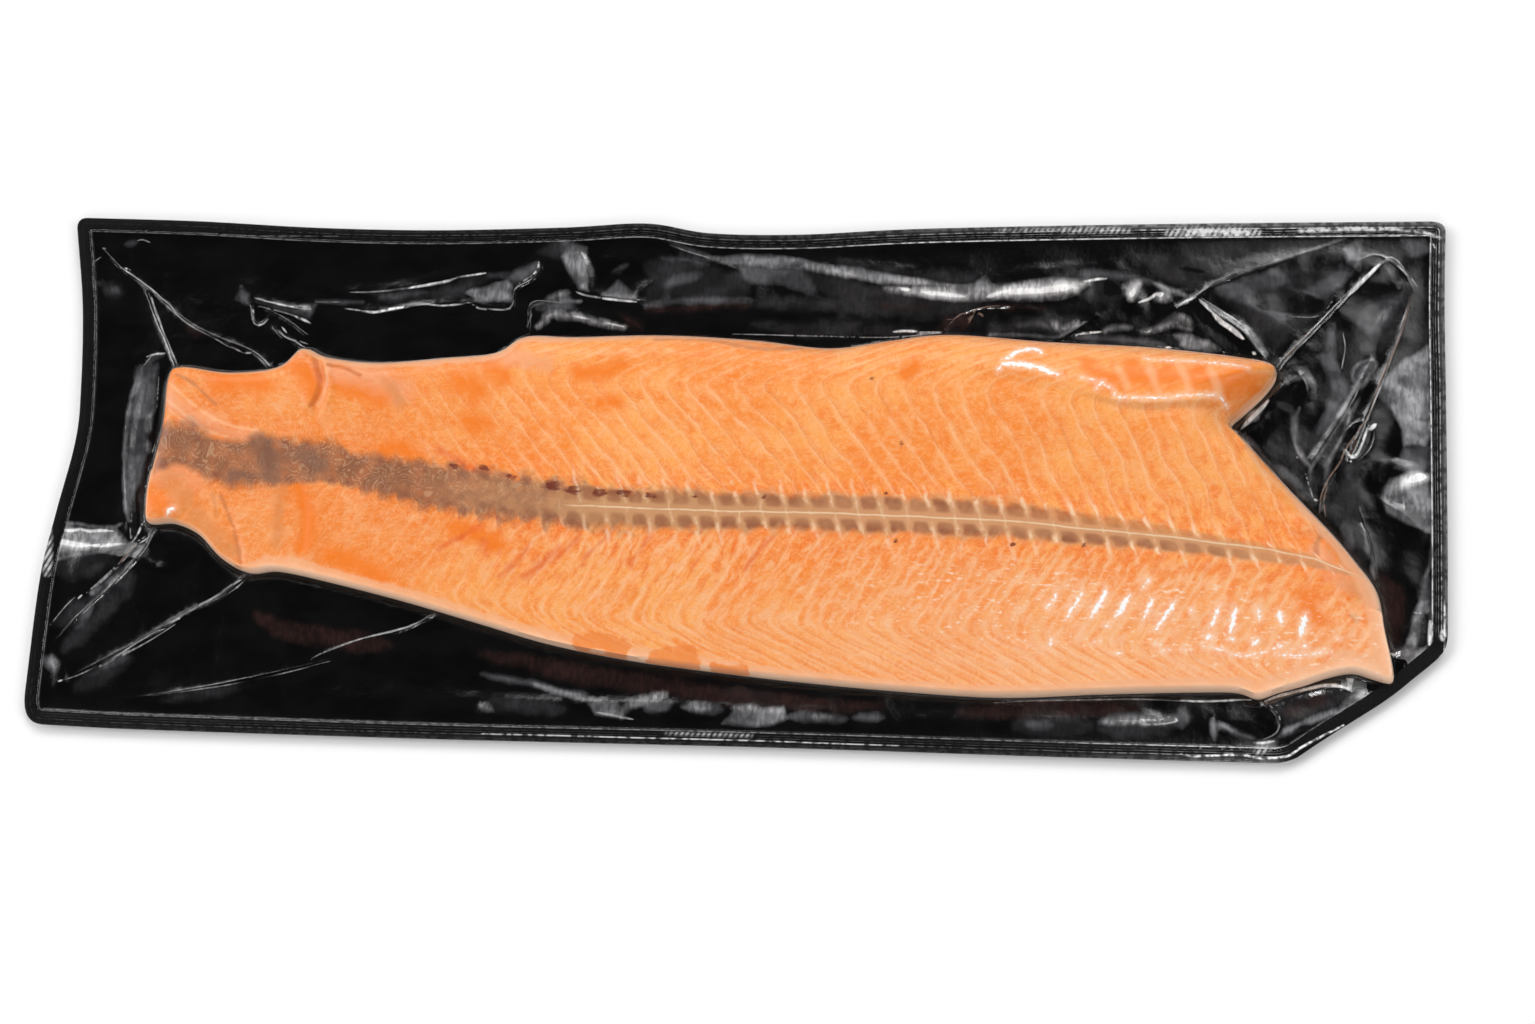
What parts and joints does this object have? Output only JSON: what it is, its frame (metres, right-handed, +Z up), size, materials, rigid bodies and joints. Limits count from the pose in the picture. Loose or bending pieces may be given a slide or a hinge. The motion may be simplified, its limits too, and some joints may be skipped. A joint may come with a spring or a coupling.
{
  "type": "vacuum pack of salmon fillet",
  "caption": "Long black-backed vacuum pack with a clear creased lid film drawn tight over a whole side of raw salmon, one corner folded under.",
  "frame": {"origin": "centre of the bounding box's bottom, on the surface the pack lies on", "axes": "+X along the pack from the tail to the thick end, +Y across it to the back edge, +Z up"},
  "size_m": [0.62, 0.239, 0.0287],
  "materials": {
    "black_web": "glossy black multilayer film",
    "salmon": "moist raw flesh in orange with paler bands",
    "lid_film": "clear glossy creased film"
  },
  "bodies": {
    "root": {"base_web": "black_web", "fillet": "salmon", "top_film": "lid_film"}
  },
  "joints": []
}
